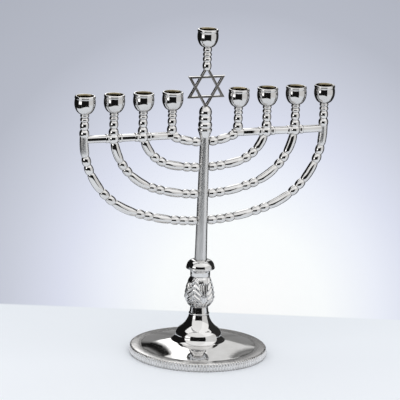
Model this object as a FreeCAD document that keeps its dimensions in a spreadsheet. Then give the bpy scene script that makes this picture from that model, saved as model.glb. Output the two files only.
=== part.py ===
import FreeCAD, Part
import math
import operator
import os
from types import SimpleNamespace

import Sketcher
from FreeCAD import Placement, Rotation, Vector

# A nine-branched menorah, in millimetres. +Z is up, X runs along the row of cups, and the origin is the
# middle of the base's underside. Every piece is placed where it stands when the menorah is assembled.

SIZES = {
    # Where the cups stand
    "outer_reach": 92.45,
    "cup_pitch": 22.3,
    "cup_rim_level": 199.2,
    "shamash_rim_level": 244.8,
    "rail_level": 166.6,
    # Candle cup
    "cup_height": 13.4,
    "cup_foot_radius": 3.3,
    "cup_foot_bulge": 0.34,
    "cup_bowl_radius": 6.2,
    "cup_bowl_level": 2.4,
    "cup_bowl_bulge": 0.41,
    "cup_belly_radius": 7.75,
    "cup_belly_level": 8.4,
    "cup_shoulder_bulge": 0.1,
    "cup_groove_radius": 7.35,
    "cup_lip_height": 2.2,
    "cup_lip_roll": 0.3,
    "candle_radius": 5.5,
    "candle_depth": 9.0,
    "candle_mouth_chamfer": 0.9,
    # Pins, tenons and the play between them and their holes
    "pin_radius": 1.6,
    "pin_length": 2.2,
    "tenon_radius": 1.7,
    "tenon_length": 2.4,
    "pin_root": 1.0,
    "pin_end_gap": 0.15,
    "play": 0.03,
    "arm_gap": 0.16,
    # Rails
    "rail_radius": 2.65,
    "rail_socket_depth": 2.2,
    "socket_margin": 0.3,
    # Arms: heights of the lowest points, and the radii of the two arcs of each curve
    "outer_low": 101.2,
    "outer_bottom_arc": 160.0,
    "outer_side_arc": 59.56,
    "second_low": 121.4,
    "second_bottom_arc": 120.3,
    "second_side_arc": 46.6,
    "third_low": 141.6,
    "third_bottom_arc": 113.3,
    "third_side_arc": 29.0,
    "inner_low": 160.6,
    "inner_bottom_arc": 60.0,
    "inner_side_arc": 6.0,
    # Beads and barrels along the arms
    "outer_bead_length": 6.75,
    "bead_length": 6.15,
    "first_barrel": 14.4,
    "second_barrel": 17.8,
    "outer_second_barrel": 18.9,
    "third_barrel": 16.2,
    "bead_radius": 3.4,
    "barrel_radius": 3.25,
    "bead_groove_radius": 2.5,
    "crossing_radius": 4.3,
    "crossing_height": 7.4,
    "crossing_overlap": 0.9,
    "post_radius": 3.3,
    # Beaded post below a candle cup, from the top down
    "post_thin_ring": 2.7,
    "post_ring": 3.3,
    "post_bead": 5.7,
    "post_foot_bead": 6.0,
    "post_foot_radius": 3.65,
    "elbow_start": 21.4,
    "elbow_end": 29.4,
    # Stem
    "stem_foot_level": 66.0,
    "stem_foot_radius": 4.6,
    "stem_top_level": 164.0,
    "stem_top_radius": 3.35,
    # Collar at the foot of the stem
    "collar_bottom": 59.3,
    "collar_waist_radius": 7.3,
    "collar_waist_level": 62.6,
    "collar_rim_radius": 10.5,
    "collar_rim_level": 65.2,
    "collar_edge": 1.2,
    "collar_top_radius": 5.3,
    "collar_top_level": 71.6,
    "collar_bulge": 1.5,
    # Knop
    "knop_ring_bottom": 30.2,
    "knop_ring_top": 31.5,
    "knop_ring_radius": 7.3,
    "knop_ring_roll": 0.3,
    "knop_neck_radius": 7.1,
    "knop_neck_top_radius": 6.45,
    "knop_neck_top": 36.0,
    "knop_belly_level": 45.2,
    "knop_belly_radius": 10.8,
    "knop_belly_bulge": 1.5,
    "knop_shoulder_bulge": 0.7,
    "knop_top_radius": 6.8,
    # Base
    "base_radius": 51.0,
    "base_rim_top_radius": 49.9,
    "base_rim_height": 5.8,
    "base_flange_radius": 43.5,
    "base_flange_level": 5.9,
    "base_shoulder_radius": 42.0,
    "base_shoulder_level": 6.3,
    "base_dish_bulge": 0.3,
    "base_dish_top_radius": 19.8,
    "base_dish_top_level": 11.0,
    "base_hollow_bulge": 0.55,
    "base_dome_radius": 17.1,
    "base_dome_level": 15.2,
    "base_dome_bulge": 0.5,
    "base_turn_radius": 14.4,
    "base_turn_level": 19.5,
    "base_flare_bulge": 1.3,
    "base_neck_radius": 7.3,
    "base_neck_top": 30.2,
    "base_wall": 2.2,
    "base_rim_wall": 2.6,
    "base_web_level": 18.4,
    "base_web_radius": 9.8,
    "base_web_drop": 1.8,
    # Tie rod
    "rod_radius": 2.0,
    "rod_bottom": 12.4,
    "rod_grip": 20.0,
    "rod_hole_radius": 2.2,
    "rod_chamfer": 0.4,
    "washer_hole_radius": 2.12,
    "washer_radius": 4.5,
    "washer_thickness": 0.8,
    "nut_width": 7.0,
    "nut_height": 3.2,
    # Spindle between the stem and the star, from the stem up
    "spindle_foot_radius": 3.55,
    "spindle_cone_radius": 5.2,
    "spindle_cone_top": 169.0,
    "spindle_collar_top": 170.8,
    "spindle_lower_ring_top": 175.9,
    "spindle_upper_ring_top": 180.4,
    "spindle_groove_radius": 4.3,
    "spindle_lower_ring_radius": 5.1,
    "spindle_upper_ring_radius": 4.75,
    "spindle_bulb_bulge": 1.3,
    "spindle_tip_radius": 2.2,
    "spindle_bore_depth": 5.2,
    # Star
    "star_radius": 16.3,
    "star_level": 201.9,
    "star_thickness": 2.4,
    "star_bar": 1.65,
    "star_top_reach": 12.7,
    "star_bottom_reach": 14.5,
    "star_pin_radius": 1.45,
    "star_pin_length": 2.6,
    "star_pin_root": 0.8,
    # Beaded post between the star and the shamash cup
    "neck_bead": 3.9,
    "neck_thin_bead": 3.1,
    "neck_radius": 3.3,
    "neck_groove_radius": 2.5,
}
# How a sketch constraint names the sketch's own origin and axes
SKETCH_ORIGIN = (-1, 1)
H_AXIS = -1
V_AXIS = -2
CENTRE_POINT = 3
# How many sections a bead and a barrel are lofted through, and how flat a barrel's side is
BEAD_SECTIONS = 6
BARREL_SECTIONS = 8
BARREL_FLATNESS = 2.0


class Length:
    """A size that carries both its value and the spreadsheet expression that gives it."""

    def __init__(self, value, text):
        self.value = value
        self.text = text

    def joined(self, other, sign, work):
        number = other.value if isinstance(other, Length) else other
        text = other.text if isinstance(other, Length) else repr(other)
        return Length(work(self.value, number), f"({self.text} {sign} {text})")

    def __add__(self, other):
        return self.joined(other, "+", operator.add)

    def __sub__(self, other):
        return self.joined(other, "-", operator.sub)

    def __mul__(self, other):
        return self.joined(other, "*", operator.mul)

    def __truediv__(self, other):
        return self.joined(other, "/", operator.truediv)


def fill_sheet(document):
    """Write the driving sizes into a spreadsheet and hand them back as Lengths."""
    sheet = document.addObject("Spreadsheet::Sheet", "Sizes")
    for row, (alias, value) in enumerate(SIZES.items(), start=1):
        sheet.set(f"A{row}", alias)
        sheet.set(f"B{row}", str(value))
        sheet.setAlias(f"B{row}", alias)
    document.recompute()
    lengths = {alias: Length(float(sheet.get(alias)), f"Sizes.{alias}") for alias in SIZES}
    return SimpleNamespace(**lengths)


document = FreeCAD.newDocument("Menorah")
size = fill_sheet(document)
nodes = []


# ---------------------------------------------------------------- sketches and turned bodies

def new_body(label):
    body = document.addObject("PartDesign::Body", label)
    body.Label = label
    nodes.append(body)
    return body


def origin_plane(body, role):
    return next(feature for feature in body.Origin.OriginFeatures if feature.Role == role)


def new_sketch(body, role, name):
    sketch = body.newObject("Sketcher::SketchObject", name)
    sketch.AttachmentSupport = [(origin_plane(body, role), "")]
    sketch.MapMode = "FlatFace"
    return sketch


def bind_constraint(sketch, constraint, length):
    index = sketch.addConstraint(constraint)
    sketch.setExpression(f"Constraints[{index}]", length.text)


def arc_geometry(start, end, bulge):
    """The circle arc from start to end that stands out by bulge on the right of the way there."""
    chord = end - start
    radius = (chord.Length**2 / 4 + bulge**2) / (2 * abs(bulge))
    right = Vector(chord.y, -chord.x, 0).normalize()
    side = 1 if bulge > 0 else -1
    centre = (start + end) / 2 + right * (bulge - side * radius)
    first, last = (start, end) if bulge > 0 else (end, start)
    angles = [math.atan2(point.y - centre.y, point.x - centre.x) for point in (first, last)]
    if angles[1] < angles[0]:
        angles[1] += 2 * math.pi
    return Part.ArcOfCircle(Part.Circle(centre, Vector(0, 0, 1), radius), angles[0], angles[1])


def arc_radius(here, there, bulge):
    """The expression of that arc's radius, from its end points and its bulge."""
    across = there[0] - here[0]
    up = there[1] - here[1]
    rise = bulge * bulge
    quarter_chord = (across * across + up * up) / 4
    return (quarter_chord + rise) / (bulge * 2)


def hold_point(sketch, edge, end, across, up):
    """Fix one end of an edge at its distances from the sketch's two axes. A plain 0 puts it on the axis."""
    for kind, axis, length in (("DistanceX", V_AXIS, across), ("DistanceY", H_AXIS, up)):
        if not isinstance(length, Length):
            sketch.addConstraint(Sketcher.Constraint("PointOnObject", edge, end, axis))
        elif length.value > 0:
            outward = Sketcher.Constraint(kind, *SKETCH_ORIGIN, edge, end, length.value)
            bind_constraint(sketch, outward, length)
        else:
            back = length * -1
            inward = Sketcher.Constraint(kind, edge, end, *SKETCH_ORIGIN, back.value)
            bind_constraint(sketch, inward, back)


def number(length):
    return length.value if isinstance(length, Length) else float(length)


def draw_outline(sketch, outline):
    """Draw a closed outline, anticlockwise. A point is (across, up) or (across, up, bulge).

    A bulge makes the edge to the next point an arc that stands out by that much, or in if it is negative.
    """
    ends = []
    points = [Vector(number(point[0]), number(point[1]), 0) for point in outline]
    for index, point in enumerate(outline):
        following = (index + 1) % len(outline)
        start, end = points[index], points[following]
        if len(point) == 2:
            edge = sketch.addGeometry(Part.LineSegment(start, end), False)
            ends.append((edge, 1, 2))
            continue
        edge = sketch.addGeometry(arc_geometry(start, end, point[2].value), False)
        ends.append((edge, 1, 2) if point[2].value > 0 else (edge, 2, 1))
    for index, point in enumerate(outline):
        edge, first, last = ends[index]
        next_edge, next_first, _ = ends[(index + 1) % len(outline)]
        sketch.addConstraint(Sketcher.Constraint("Coincident", edge, last, next_edge, next_first))
        hold_point(sketch, edge, first, point[0], point[1])
        if len(point) == 3:
            radius = arc_radius(point, outline[(index + 1) % len(outline)], point[2])
            outward = radius if point[2].value > 0 else radius * -1
            bind_constraint(sketch, Sketcher.Constraint("Radius", edge, outward.value), outward)


def turned(label, outline):
    """A body turned about the vertical axis from its half outline."""
    body = new_body(label)
    sketch = new_sketch(body, "XZ_Plane", f"{label}_outline")
    draw_outline(sketch, outline)
    turning = body.newObject("PartDesign::Revolution", f"{label}_turning")
    turning.Profile = sketch
    turning.ReferenceAxis = (sketch, ["V_Axis"])
    turning.Angle = 360
    sketch.Visibility = False
    body.Tip = turning
    return body


def turned_shape(outline, reach):
    """The same solid of revolution as a plain shape, standing at a reach along X, for joining to an arm."""
    points = [Vector(number(point[0]), 0, number(point[1])) for point in outline]
    edges = []
    for index, point in enumerate(outline):
        start, end = points[index], points[(index + 1) % len(points)]
        if len(point) == 2:
            edges.append(Part.LineSegment(start, end).toShape())
            continue
        chord = end - start
        right = Vector(chord.z, 0, -chord.x).normalize()
        edges.append(Part.Arc(start, (start + end) / 2 + right * number(point[2]), end).toShape())
    shape = Part.Face(Part.Wire(edges)).revolve(Vector(0, 0, 0), Vector(0, 0, 1), 360)
    shape.translate(Vector(number(reach), 0, 0))
    return shape


def beads_up(bottom, beads, groove_radius):
    """The outside of a stack of beads, each given as (height, radius), with a groove between them."""
    points = []
    level = bottom
    for height, radius in beads:
        points.append((groove_radius, level, radius - groove_radius))
        level = level + height
    points.append((groove_radius, level))
    return points


# ---------------------------------------------------------------- base, knop, collar and stem

def base_pedestal():
    inner_rim = size.base_radius - size.base_rim_wall
    under_flange = size.base_flange_level - size.base_wall
    under_dish = size.base_dish_top_level - size.base_wall
    inside_dome = size.base_dome_radius - size.base_wall
    hollow_bulge = size.base_hollow_bulge * -1
    return turned("base_pedestal", [
        (size.base_radius, 0),
        (size.base_rim_top_radius, size.base_rim_height),
        (size.base_flange_radius, size.base_flange_level),
        (size.base_shoulder_radius, size.base_shoulder_level, size.base_dish_bulge),
        (size.base_dish_top_radius, size.base_dish_top_level, hollow_bulge),
        (size.base_dome_radius, size.base_dome_level, size.base_dome_bulge),
        (size.base_turn_radius, size.base_turn_level, size.base_flare_bulge * -1),
        (size.base_neck_radius, size.base_neck_top),
        (size.rod_hole_radius, size.base_neck_top),
        (size.rod_hole_radius, size.base_web_level),
        (size.base_web_radius, size.base_web_level),
        (inside_dome - size.base_dome_bulge, size.base_web_level - size.base_web_drop),
        (inside_dome, size.base_dome_level - size.base_web_drop),
        (size.base_dish_top_radius - size.base_wall, under_dish),
        (size.base_shoulder_radius, size.base_shoulder_level - size.base_wall),
        (size.base_flange_radius, under_flange),
        (inner_rim, under_flange),
        (inner_rim, 0),
    ])


def knop():
    return turned("knop", [
        (size.rod_hole_radius, size.knop_ring_bottom),
        (size.knop_ring_radius, size.knop_ring_bottom, size.knop_ring_roll),
        (size.knop_ring_radius, size.knop_ring_top),
        (size.knop_neck_radius, size.knop_ring_top),
        (size.knop_neck_top_radius, size.knop_neck_top, size.knop_belly_bulge),
        (size.knop_belly_radius, size.knop_belly_level, size.knop_shoulder_bulge),
        (size.knop_top_radius, size.collar_bottom),
        (size.rod_hole_radius, size.collar_bottom),
    ])


def stem_collar():
    socket_radius = size.stem_foot_radius + size.play
    return turned("stem_collar", [
        (size.rod_hole_radius, size.collar_bottom),
        (size.collar_waist_radius, size.collar_bottom),
        (size.collar_waist_radius, size.collar_waist_level),
        (size.collar_rim_radius, size.collar_rim_level),
        (size.collar_rim_radius, size.collar_rim_level + size.collar_edge, size.collar_bulge),
        (size.collar_top_radius, size.collar_top_level),
        (socket_radius, size.collar_top_level),
        (socket_radius, size.stem_foot_level),
        (size.rod_hole_radius, size.stem_foot_level),
    ])


def stem():
    socket_top = size.stem_foot_level + size.rod_grip + size.pin_length
    thread_radius = size.rod_radius + size.play
    pin_top = size.stem_top_level + size.spindle_bore_depth - size.pin_end_gap
    body = turned("stem", [
        (thread_radius, size.stem_foot_level),
        (size.stem_foot_radius, size.stem_foot_level),
        (size.stem_top_radius, size.stem_top_level),
        (size.pin_radius, size.stem_top_level),
        (size.pin_radius, pin_top),
        (0, pin_top),
        (0, socket_top),
        (thread_radius, socket_top),
    ])
    holes = new_sketch(body, "YZ_Plane", "stem_cross_holes")
    for level in (size.outer_low, size.second_low, size.third_low, size.inner_low):
        radius = size.tenon_radius + size.play
        circle = Part.Circle(Vector(0, level.value, 0), Vector(0, 0, 1), radius.value)
        edge = holes.addGeometry(circle, False)
        hold_point(holes, edge, CENTRE_POINT, 0, level)
        bind_constraint(holes, Sketcher.Constraint("Radius", edge, radius.value), radius)
    drilling = body.newObject("PartDesign::Pocket", "stem_drilling")
    drilling.Profile = holes
    drilling.Type = "ThroughAll"
    drilling.Midplane = True
    body.Tip = drilling
    return body


# ---------------------------------------------------------------- cups and their posts

def candle_cup(label, reach, rim_level):
    """An egg-shaped cup with a rolled lip, a candle socket from above and a pin hole from below."""
    groove_level = size.cup_height - size.cup_lip_height
    lip_radius = size.cup_groove_radius
    hole_radius = size.pin_radius + size.play
    hole_top = size.pin_length + size.play
    floor = size.cup_height - size.candle_depth
    body = turned(label, [
        (0, hole_top),
        (hole_radius, hole_top),
        (hole_radius, 0),
        (size.cup_foot_radius, 0, size.cup_foot_bulge),
        (size.cup_bowl_radius, size.cup_bowl_level, size.cup_bowl_bulge),
        (size.cup_belly_radius, size.cup_belly_level, size.cup_shoulder_bulge),
        (lip_radius, groove_level, size.cup_lip_roll),
        (lip_radius, size.cup_height),
        (size.candle_radius + size.candle_mouth_chamfer, size.cup_height),
        (size.candle_radius, size.cup_height - size.candle_mouth_chamfer),
        (size.candle_radius, floor),
        (0, floor),
    ])
    level = rim_level - size.cup_height
    body.Placement = Placement(Vector(number(reach), 0, level.value), Rotation())
    if isinstance(reach, Length):
        body.setExpression("Placement.Base.x", reach.text)
    body.setExpression("Placement.Base.z", level.text)
    return body


def post_shape(reach):
    """The beaded post that carries a candle cup, with the pin that enters the cup."""
    beads = [
        (size.post_foot_bead, size.post_foot_radius),
        (size.post_bead, size.post_radius),
        (size.post_ring, size.post_radius),
        (size.post_thin_ring, size.post_radius),
    ]
    top = size.cup_rim_level - size.cup_height
    pin_top = top + size.pin_length - size.play
    bottom = top - size.post_foot_bead - size.post_bead - size.post_ring - size.post_thin_ring
    side = beads_up(bottom, beads, size.bead_groove_radius)
    inside = [(0, size.rail_level), (size.bead_groove_radius, size.rail_level)]
    pin = [(size.pin_radius, top), (size.pin_radius, pin_top), (0, pin_top)]
    return turned_shape(inside + side + pin, reach)


# ---------------------------------------------------------------- arms

class ArmCurve:
    """An arm's centre line: a flat bottom arc from the stem, then a tighter side arc up to the post."""

    def __init__(self, reach, low, bottom_arc, side_arc):
        self.bottom_arc = bottom_arc
        self.side_arc = side_arc
        self.bottom_centre = Vector(0, 0, low + bottom_arc)
        offset = reach - side_arc
        drop = math.sqrt((bottom_arc - side_arc) ** 2 - offset**2)
        self.side_centre = Vector(offset, 0, low + bottom_arc - drop)
        self.turn = math.asin(offset / (bottom_arc - side_arc))

    def at(self, distance):
        """The point at a distance along the curve, and the direction there."""
        bottom_length = self.bottom_arc * self.turn
        if distance <= bottom_length:
            angle, centre, radius = distance / self.bottom_arc, self.bottom_centre, self.bottom_arc
        else:
            angle = self.turn + (distance - bottom_length) / self.side_arc
            centre, radius = self.side_centre, self.side_arc
        point = centre + Vector(math.sin(angle), 0, -math.cos(angle)) * radius
        return point, Vector(math.cos(angle), 0, math.sin(angle))

    def distance_at_level(self, level):
        """How far along the side arc the curve reaches a height."""
        angle = math.acos(min(1.0, (self.side_centre.z - level) / self.side_arc))
        return self.bottom_arc * self.turn + self.side_arc * (angle - self.turn)


def swelling(curve, kind, start, end):
    """A bead or barrel bent along the curve, from the groove at its ends to its full radius in the middle."""
    steps = BEAD_SECTIONS if kind == "bead" else BARREL_SECTIONS
    flatness = 1.0 if kind == "bead" else BARREL_FLATNESS
    groove = SIZES["bead_groove_radius"]
    wires = []
    for step in range(steps + 1):
        share = step / steps
        point, direction = curve.at(start + (end - start) * share)
        height = 1 - abs(2 * share - 1) ** (2 * flatness)
        radius = groove + (SIZES[f"{kind}_radius"] - groove) * height
        wires.append(Part.Wire(Part.makeCircle(radius, point, direction)))
    return Part.makeLoft(wires, True, False)


def stretches(start, end, beads, barrels, bead_length):
    """Split the curve into beads and barrels, from the stem outwards. The last barrel takes what is left."""
    pieces = []
    place = start
    for index, count in enumerate(beads):
        for _ in range(count):
            pieces.append(("bead", place, place + bead_length))
            place += bead_length
        last = index == len(beads) - 1
        far_end = end if last else place + barrels[index]
        pieces.append(("barrel", place, far_end))
        place = far_end
    return pieces


def stem_radius_at(level):
    share = (level - SIZES["stem_foot_level"]) / (SIZES["stem_top_level"] - SIZES["stem_foot_level"])
    return SIZES["stem_foot_radius"] + share * (SIZES["stem_top_radius"] - SIZES["stem_foot_radius"])


def bar_shape(radius, start, end, level):
    """A round bar along X."""
    return Part.makeCylinder(radius, end - start, Vector(start, 0, level), Vector(1, 0, 0))


def arm_chain(curve, level, end, beads, barrels, bead_length):
    """Tenon, beads and barrels of one arm, as a list of solids that meet end to end."""
    start = stem_radius_at(level) + SIZES["arm_gap"]
    solids = [bar_shape(SIZES["tenon_radius"], start - SIZES["tenon_length"], start, level)]
    for kind, first, last in stretches(start, end, beads, barrels, bead_length):
        solids.append(swelling(curve, kind, first, last))
    return solids


def joined(solids):
    return solids[0].multiFuse(solids[1:]).removeSplitter()


def arm_curve(name, reach):
    low, bottom_arc, side_arc = [SIZES[f"{name}_{part}"] for part in ("low", "bottom_arc", "side_arc")]
    return ArmCurve(reach.value, low, bottom_arc, side_arc)


def crossing_arm(name, reach, beads, barrels):
    """The second or third arm on the right. The rail passes through the ball at the foot of its post."""
    curve = arm_curve(name, reach)
    rail_level = SIZES["rail_level"]
    half = SIZES["crossing_height"] / 2
    end = curve.distance_at_level(rail_level - half + SIZES["crossing_overlap"])
    solids = arm_chain(curve, SIZES[f"{name}_low"], end, beads, barrels, SIZES["bead_length"])
    bead = (size.crossing_height, size.crossing_radius)
    ball = beads_up(size.rail_level - half, [bead], size.bead_groove_radius)
    ball = [(0, rail_level - half)] + ball + [(0, rail_level + half)]
    solids += [turned_shape(ball, reach), post_shape(reach)]
    hole_radius = SIZES["rail_radius"] + SIZES["play"]
    hole = bar_shape(hole_radius, reach.value - half * 2, reach.value + half * 2, rail_level)
    return joined(solids).cut(hole)


def outer_arm(reach, beads, barrels):
    """The outermost arm on the right: the rail ends in a socket in the foot of its post."""
    curve = arm_curve("outer", reach)
    rail_level = SIZES["rail_level"]
    below = rail_level - SIZES["rail_radius"]
    end = curve.distance_at_level(rail_level)
    solids = arm_chain(curve, SIZES["outer_low"], end, beads, barrels, SIZES["outer_bead_length"])
    margin = SIZES["socket_margin"]
    foot_height = (SIZES["rail_radius"] + margin) * 2
    foot_bottom = Vector(reach.value, 0, below - margin)
    foot = Part.makeCylinder(SIZES["post_radius"], foot_height, foot_bottom)
    solids += [foot, post_shape(reach)]
    socket_floor = reach.value - SIZES["post_radius"] + SIZES["rail_socket_depth"]
    socket_radius = SIZES["rail_radius"] + SIZES["play"]
    socket_mouth = reach.value - SIZES["cup_pitch"] / 2
    return joined(solids).cut(bar_shape(socket_radius, socket_mouth, socket_floor, rail_level))


def inner_arm(reach):
    """The short arm on the right: up to the rail's level, and along it past its own post."""
    level = SIZES["inner_low"]
    rail_level = SIZES["rail_level"]
    curve = arm_curve("inner", reach)
    start = stem_radius_at(level) + SIZES["arm_gap"]
    bead_end = start + SIZES["bead_length"]
    end = curve.distance_at_level(rail_level)
    barrel_end = end - SIZES["bead_length"]
    solids = [bar_shape(SIZES["tenon_radius"], start - SIZES["tenon_length"], start, level)]
    solids.append(swelling(curve, "bead", start, bead_end))
    solids.append(swelling(curve, "barrel", bead_end, barrel_end))
    solids.append(swelling(curve, "bead", barrel_end, end))
    solids.append(bar_shape(SIZES["rail_radius"], SIZES["elbow_start"], SIZES["elbow_end"], rail_level))
    pin_end = SIZES["elbow_end"] + SIZES["pin_length"] - SIZES["play"]
    solids.append(bar_shape(SIZES["pin_radius"], SIZES["elbow_end"] - SIZES["pin_root"], pin_end, rail_level))
    solids.append(post_shape(reach))
    return joined(solids)


def place_shape(label, shape):
    piece = document.addObject("Part::Feature", label)
    piece.Label = label
    piece.Shape = shape
    nodes.append(piece)


def place_pair(name, shape):
    """The right-hand piece as made, and its mirror image on the left."""
    place_shape(f"{name}_right", shape)
    place_shape(f"{name}_left", shape.mirror(Vector(0, 0, 0), Vector(1, 0, 0)))


def rail(label, side):
    """A round bar from the inner arm's pin, through two arms, into the socket of the outer arm's post."""
    start = size.elbow_end + size.play
    end = size.outer_reach - size.post_radius + size.rail_socket_depth - size.play
    bar = document.addObject("Part::Cylinder", f"{label}_bar")
    bore = document.addObject("Part::Cylinder", f"{label}_bore")
    bore_size = (bore, size.pin_radius + size.play, size.pin_length)
    along = Rotation(Vector(0, side, 0), 90)
    for cylinder, radius, length in ((bar, size.rail_radius, end - start), bore_size):
        cylinder.Placement = Placement(Vector(start.value * side, 0, SIZES["rail_level"]), along)
        cylinder.setExpression("Radius", radius.text)
        cylinder.setExpression("Height", length.text)
        cylinder.setExpression("Placement.Base.x", (start * side).text)
        cylinder.setExpression("Placement.Base.z", size.rail_level.text)
    bored = document.addObject("Part::Cut", label)
    bored.Base = bar
    bored.Tool = bore
    bored.Label = label
    nodes.append(bored)


# ---------------------------------------------------------------- shamash: spindle, star and neck

def shamash_spindle():
    bore_radius = size.pin_radius + size.play
    bore_top = size.stem_top_level + size.spindle_bore_depth
    top = size.star_level - size.star_bottom_reach
    groove = size.spindle_groove_radius
    socket_radius = size.star_pin_radius + size.play
    socket_floor = top - size.star_pin_length - size.play
    return turned("shamash_spindle", [
        (bore_radius, size.stem_top_level),
        (size.spindle_foot_radius, size.stem_top_level),
        (size.spindle_cone_radius, size.spindle_cone_top),
        (size.spindle_cone_radius, size.spindle_collar_top),
        (groove, size.spindle_collar_top, size.spindle_lower_ring_radius - groove),
        (groove, size.spindle_lower_ring_top, size.spindle_upper_ring_radius - groove),
        (groove, size.spindle_upper_ring_top, size.spindle_bulb_bulge),
        (size.spindle_tip_radius, top),
        (socket_radius, top),
        (socket_radius, socket_floor),
        (0, socket_floor),
        (0, bore_top),
        (bore_radius, bore_top),
    ])


def star_of_david():
    """Two flat triangular frames, one the other turned over, with a round pin at the top and the bottom.

    The top and bottom points are cut off flat where the neck and the spindle take them.
    """
    body = new_body("star_of_david")
    half_side = math.cos(math.radians(30))
    sketch = new_sketch(body, "XZ_Plane", "star_triangle")
    for radius in (size.star_radius, size.star_radius - size.star_bar * 2):
        foot = radius * -0.5
        draw_outline(sketch, [(0, radius), (radius * -half_side, foot), (radius * half_side, foot)])
    frame = body.newObject("PartDesign::Pad", "star_frame")
    frame.Profile = sketch
    frame.Midplane = True
    frame.setExpression("Length", size.star_thickness.text)
    document.recompute()
    turned_over = body.newObject("PartDesign::PolarPattern", "star_turned_over")
    turned_over.Originals = [frame]
    turned_over.Axis = (origin_plane(body, "Y_Axis"), [""])
    turned_over.Angle = 360
    turned_over.Occurrences = 2
    body.Tip = turned_over
    trimming = new_sketch(body, "XZ_Plane", "star_trimming")
    side = size.star_radius
    far = size.star_radius + size.star_pin_length
    for near, sign in ((size.star_top_reach, 1), (size.star_bottom_reach, -1)):
        low, high = (near, far) if sign > 0 else (far * -1, near * -1)
        draw_outline(trimming, [(side * -1, low), (side, low), (side, high), (side * -1, high)])
    trimmed = body.newObject("PartDesign::Pocket", "star_trimmed")
    trimmed.Profile = trimming
    trimmed.Type = "ThroughAll"
    trimmed.Midplane = True
    radius = size.star_pin_radius
    tip = size.star_top_reach + size.star_pin_length
    root = size.star_top_reach - size.star_pin_root
    foot = (size.star_bottom_reach + size.star_pin_length) * -1
    heel = (size.star_bottom_reach - size.star_pin_root) * -1
    for name, low, high in (("star_top_pin", root, tip), ("star_bottom_pin", foot, heel)):
        pin_outline = new_sketch(body, "XZ_Plane", f"{name}_outline")
        draw_outline(pin_outline, [(0, low), (radius, low), (radius, high), (0, high)])
        pin = body.newObject("PartDesign::Revolution", name)
        pin.Profile = pin_outline
        pin.ReferenceAxis = (pin_outline, ["V_Axis"])
        pin.Angle = 360
    body.Placement = Placement(Vector(0, 0, size.star_level.value), Rotation())
    body.setExpression("Placement.Base.z", size.star_level.text)
    return body


def shamash_neck():
    bottom = size.star_level + size.star_top_reach
    socket_radius = size.star_pin_radius + size.play
    socket_top = bottom + size.star_pin_length + size.play
    top = size.shamash_rim_level - size.cup_height
    foot_bead = top - bottom - size.neck_bead * 2 - size.neck_thin_bead
    heights = (foot_bead, size.neck_bead, size.neck_thin_bead, size.neck_bead)
    side = beads_up(bottom, [(height, size.neck_radius) for height in heights], size.neck_groove_radius)
    pin_top = top + size.pin_length - size.play
    socket = [(0, socket_top), (socket_radius, socket_top), (socket_radius, bottom)]
    pin = [(size.pin_radius, top), (size.pin_radius, pin_top), (0, pin_top)]
    return turned("shamash_neck", socket + side + pin)


# ---------------------------------------------------------------- tie rod, washer and nut

def tie_rod():
    end = size.stem_foot_level + size.rod_grip
    return turned("tie_rod", [
        (0, size.rod_bottom),
        (size.rod_radius - size.rod_chamfer, size.rod_bottom),
        (size.rod_radius, size.rod_bottom + size.rod_chamfer),
        (size.rod_radius, end - size.rod_chamfer),
        (size.rod_radius - size.rod_chamfer, end),
        (0, end),
    ])


def tie_rod_washer():
    top = size.base_web_level
    return turned("tie_rod_washer", [
        (size.washer_hole_radius, top - size.washer_thickness),
        (size.washer_radius, top - size.washer_thickness),
        (size.washer_radius, top),
        (size.washer_hole_radius, top),
    ])


def tie_rod_nut():
    """A hexagon nut below the washer."""
    top = size.base_web_level - size.washer_thickness
    bottom = top - size.nut_height
    block = document.addObject("Part::Prism", "nut_block")
    block.Polygon = 6
    block.setExpression("Circumradius", (size.nut_width / (2 * math.cos(math.radians(30)))).text)
    block.setExpression("Height", size.nut_height.text)
    thread = document.addObject("Part::Cylinder", "nut_thread")
    thread.setExpression("Radius", (size.rod_radius + size.play).text)
    thread.setExpression("Height", size.nut_height.text)
    for piece in (block, thread):
        piece.Placement = Placement(Vector(0, 0, bottom.value), Rotation())
        piece.setExpression("Placement.Base.z", bottom.text)
    nut = document.addObject("Part::Cut", "tie_rod_nut")
    nut.Base = block
    nut.Tool = thread
    nut.Label = "tie_rod_nut"
    nodes.append(nut)


# ---------------------------------------------------------------- the whole menorah

def build():
    reaches = [size.outer_reach - size.cup_pitch * index for index in range(4)]
    base_pedestal()
    knop()
    stem_collar()
    stem()
    barrels = [SIZES["first_barrel"], SIZES["second_barrel"], SIZES["third_barrel"]]
    outer_barrels = [SIZES["first_barrel"], SIZES["outer_second_barrel"], SIZES["third_barrel"]]
    place_pair("outer_arm", outer_arm(reaches[0], (3, 2, 2, 2), outer_barrels))
    place_pair("second_arm", crossing_arm("second", reaches[1], (2, 2, 2), barrels))
    place_pair("third_arm", crossing_arm("third", reaches[2], (2, 2), barrels))
    place_pair("inner_arm", inner_arm(reaches[3]))
    for name, side in (("left", -1), ("right", 1)):
        rail(f"rail_{name}", side)
        for index, reach in enumerate(reaches, start=1):
            candle_cup(f"candle_cup_{name}_{index}", reach * side, size.cup_rim_level)
    shamash_spindle()
    star_of_david()
    shamash_neck()
    candle_cup("shamash_cup", 0, size.shamash_rim_level)
    tie_rod()
    tie_rod_washer()
    tie_rod_nut()


def check_and_write():
    """Stop if anything in the document failed, then write one file for each piece."""
    for thing in document.Objects:
        if "Invalid" in thing.State or "Error" in thing.State:
            raise RuntimeError(f"{thing.Name} did not build")
    os.makedirs("parts", exist_ok=True)
    for node in nodes:
        shape = node.Shape
        if shape.isNull() or not shape.isValid() or len(shape.Solids) != 1:
            raise RuntimeError(f"{node.Label} is not one sound solid")
        shape.exportStep(f"parts/{node.Label}.step")


build()
document.recompute()
check_and_write()
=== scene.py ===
"""Looks for a nine-branched menorah of polished nickel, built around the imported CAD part."""

import math

import bpy
from mathutils import Matrix, Vector


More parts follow.
